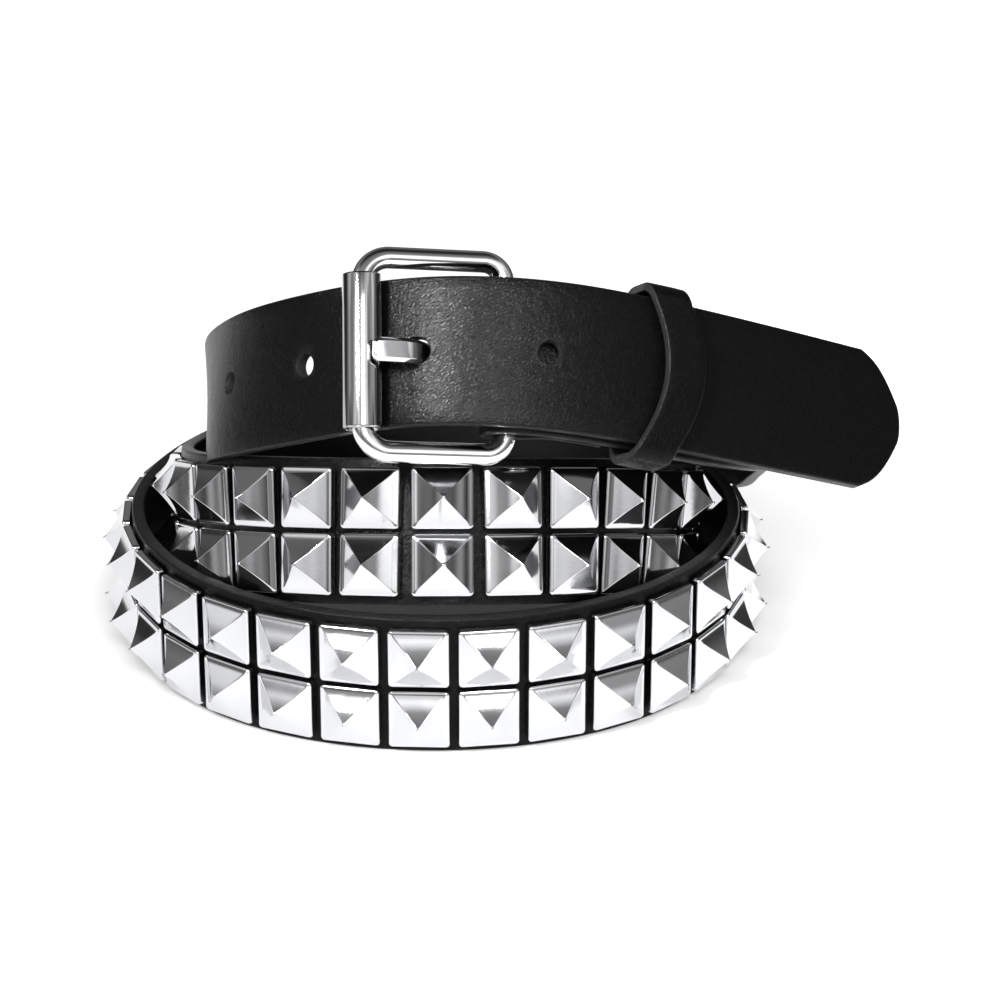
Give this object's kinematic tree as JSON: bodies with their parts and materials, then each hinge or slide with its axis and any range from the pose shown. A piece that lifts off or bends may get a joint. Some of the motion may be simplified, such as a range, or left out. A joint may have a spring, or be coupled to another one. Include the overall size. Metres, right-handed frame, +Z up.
{
  "type": "studded belt",
  "caption": "Leather belt with rows of pyramid studs and a roller buckle, fastened and coiled in three fanned passes.",
  "frame": {"origin": "middle of the footprint, on the ground that the outer coil stands on", "axes": "+Z up, the front with the buckle faces -Y, the strap's point lies towards +X"},
  "size_m": [0.1836, 0.1584, 0.1115],
  "materials": {
    "leather": "black satin, fine grain",
    "chrome": "mirror polished"
  },
  "bodies": {
    "belt": {"belt_strap": "leather", "keeper_loop": "leather", "buckle_frame": "chrome", "buckle_prong": "chrome", "fold_rivet_1": "chrome", "fold_rivet_2": "chrome", "stud_run_01": "chrome", "stud_run_02": "chrome", "stud_run_03": "chrome", "stud_run_04": "chrome", "stud_run_05": "chrome", "stud_run_06": "chrome", "stud_run_07": "chrome", "stud_run_08": "chrome", "stud_run_09": "chrome", "stud_run_10": "chrome"},
    "roller": {"buckle_roller": "chrome"}
  },
  "joints": [
    {"name": "roller_spin", "type": "hinge", "parent": "belt", "child": "roller", "pos_m": [-0.02701, -0.06687, 0.09164], "axis": [-0.0098, 0.493, 0.87], "continuous": true}
  ]
}
